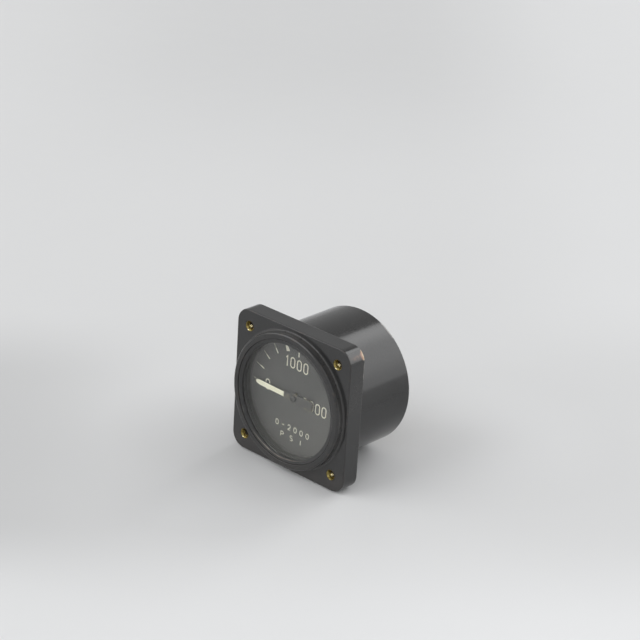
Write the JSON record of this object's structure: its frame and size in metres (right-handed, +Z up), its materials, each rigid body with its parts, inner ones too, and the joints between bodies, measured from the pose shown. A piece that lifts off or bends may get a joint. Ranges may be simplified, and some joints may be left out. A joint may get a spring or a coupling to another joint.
{
  "type": "hydraulic pressure gauge",
  "caption": "Panel-mounted hydraulic pressure gauge: square-flanged black moulded case, round window, half-circle dial scale, pointer, Bourdon tube movement and rear threaded connection.",
  "frame": {"origin": "on the case axis, at the centre of the flange's front face, which is the face that meets the panel; also the centre of the four fixing holes", "axes": "+Z up, towards the top of the dial; +X to the right as the dial is read; +Y along the case axis, from the dial to the rear connection"},
  "size_m": [0.0604, 0.0592, 0.0604],
  "materials": {
    "case_moulding": "black phenolic moulding, semi-gloss, handled and slightly dulled",
    "black_paint": "satin black paint, worn through on its edge",
    "dial_black": "matt black instrument paint with cream markings",
    "luminous": "aged cream luminous paint",
    "hub_black": "matt black paint",
    "clear_glass": "clear flat glass",
    "rubber": "black sealing rubber",
    "insert_brass": "tapped brass, tarnished with bright edges",
    "movement_brass": "brushed brass plate",
    "fitting_brass": "machined brass, dulled",
    "tube_bronze": "drawn phosphor bronze",
    "steel": "turned steel",
    "blued_spring": "blued spring steel"
  },
  "bodies": {
    "case": {"case": "case_moulding", "mounting_inserts": "insert_brass", "retaining_ring": "black_paint", "cover_glass": "clear_glass", "glass_gasket": "rubber", "dial_spacer": "black_paint", "dial": "dial_black", "hairspring": "blued_spring", "hairspring_stud": "movement_brass", "movement_front_plate": "movement_brass", "movement_back_plate": "movement_brass", "plate_pillars": "movement_brass", "plate_screws": "steel", "bourdon_tube": "tube_bronze", "socket": "fitting_brass", "socket_gasket": "rubber", "socket_screws": "steel", "restrictor": "fitting_brass", "movement_screws": "steel"},
    "pointer": {"pointer": "luminous", "pointer_hub": "hub_black", "pinion_shaft": "steel", "hairspring_collet": "movement_brass"},
    "sector": {"sector_gear": "movement_brass", "sector_arbor": "steel", "sector_pin": "steel"},
    "tube_tip": {"tube_tip": "fitting_brass", "tip_pin": "steel"},
    "link": {"link": "movement_brass"}
  },
  "joints": [
    {"name": "pointer_sweep", "type": "hinge", "parent": "case", "child": "pointer", "pos_m": [0, 0.002, 0], "axis": [0, 1, 0], "range_deg": [0, 180], "stiffness_Nm_per_rad": 0.0005, "deforming": ["hairspring"]},
    {"name": "sector_swing", "type": "hinge", "parent": "case", "child": "sector", "pos_m": [0, 0.01, -0.0153], "axis": [0, 1, 0], "range_deg": [-24.1, 0.1]},
    {"name": "tube_flex", "type": "hinge", "parent": "case", "child": "tube_tip", "pos_m": [-0.00178, 0.02, 0.00465], "axis": [0, 1, 0], "range_deg": [-6.05, 0.05], "deforming": ["bourdon_tube"]},
    {"name": "link_turn", "type": "hinge", "parent": "tube_tip", "child": "link", "pos_m": [0.01386, 0.0108, -0.008], "axis": [0, 1, 0], "range_deg": [-0.05, 5.3]}
  ],
  "couplings": [
    {"joint": "sector_swing", "follows": "pointer_sweep", "ratio": -0.13333},
    {"joint": "tube_flex", "follows": "pointer_sweep", "ratio": -0.033333},
    {"joint": "link_turn", "follows": "pointer_sweep", "ratio": 0.029111}
  ]
}
